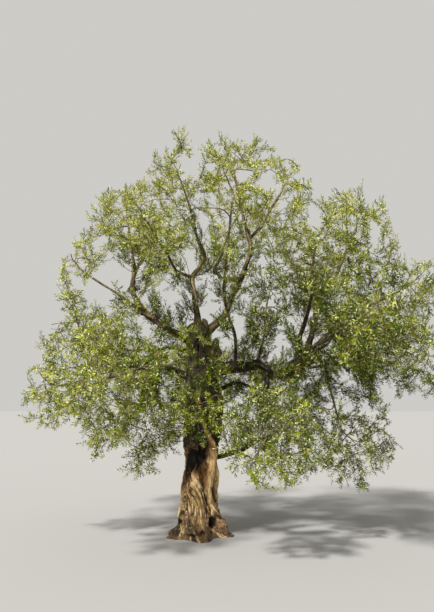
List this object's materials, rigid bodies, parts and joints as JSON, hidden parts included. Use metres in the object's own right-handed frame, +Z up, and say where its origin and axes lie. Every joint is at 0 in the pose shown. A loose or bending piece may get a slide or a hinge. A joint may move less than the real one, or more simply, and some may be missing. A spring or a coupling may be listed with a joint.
{
  "type": "olive tree",
  "caption": "Old grove olive tree: fluted half-hollow trunk with root flare, crooked limbs from its fork, and an open rounded crown of leafy twigs.",
  "frame": {"origin": "middle of the flat cut under the trunk, at ground level", "axes": "+Z up along the trunk; -Y is the side that the picture shows; +X to the right in it"},
  "size_m": [8.005, 6.1616, 7.9972],
  "materials": {
    "trunk_bark": "rough furrowed bark",
    "limb_bark": "rough dark bark",
    "dead_wood": "weathered dead wood",
    "foliage": "matt leathery leaves"
  },
  "bodies": {
    "root": {"back_high_limb": "limb_bark", "back_left_limb": "limb_bark", "back_limb": "limb_bark", "back_low_foliage": "foliage", "back_right_limb": "limb_bark", "broken_stump": "dead_wood", "centre_limb": "limb_bark", "centre_right_foliage": "foliage", "cross_limb": "limb_bark", "crown_back_foliage": "foliage", "crown_front_foliage": "foliage", "crown_top_foliage": "foliage", "crown_top_left_foliage": "foliage", "crown_top_right_foliage": "foliage", "east_arch": "limb_bark", "east_arm": "limb_bark", "east_back_arm": "limb_bark", "east_back_rise": "limb_bark", "east_drop": "limb_bark", "east_front_arm": "limb_bark", "east_limb": "limb_bark", "east_rise": "limb_bark", "east_upright": "limb_bark", "front_limb": "limb_bark", "hanging_spur": "dead_wood", "left_arm": "limb_bark", "left_far_foliage": "foliage", "left_hanging_foliage": "foliage", "left_high_back_foliage": "foliage", "left_high_front_foliage": "foliage", "left_limb": "limb_bark", "left_low_back_foliage": "foliage", "left_low_front_foliage": "foliage", "left_low_tip_foliage": "foliage", "left_middle_foliage": "foliage", "left_rise": "limb_bark", "left_upper_foliage": "foliage", "low_limb": "limb_bark", "middle_arm": "limb_bark", "middle_limb": "limb_bark", "right_far_foliage": "foliage", "right_far_upper_foliage": "foliage", "right_fork": "limb_bark", "right_high_back_foliage": "foliage", "right_high_front_foliage": "foliage", "right_limb": "limb_bark", "right_low_back_foliage": "foliage", "right_low_foliage": "foliage", "right_low_front_foliage": "foliage", "right_middle_back_foliage": "foliage", "right_middle_front_foliage": "foliage", "right_upper_foliage": "foliage", "trunk": "trunk_bark", "trunk_shoots": "foliage", "west_arm": "limb_bark", "west_drop": "limb_bark", "west_front_arm": "limb_bark", "west_limb": "limb_bark"}
  },
  "joints": []
}
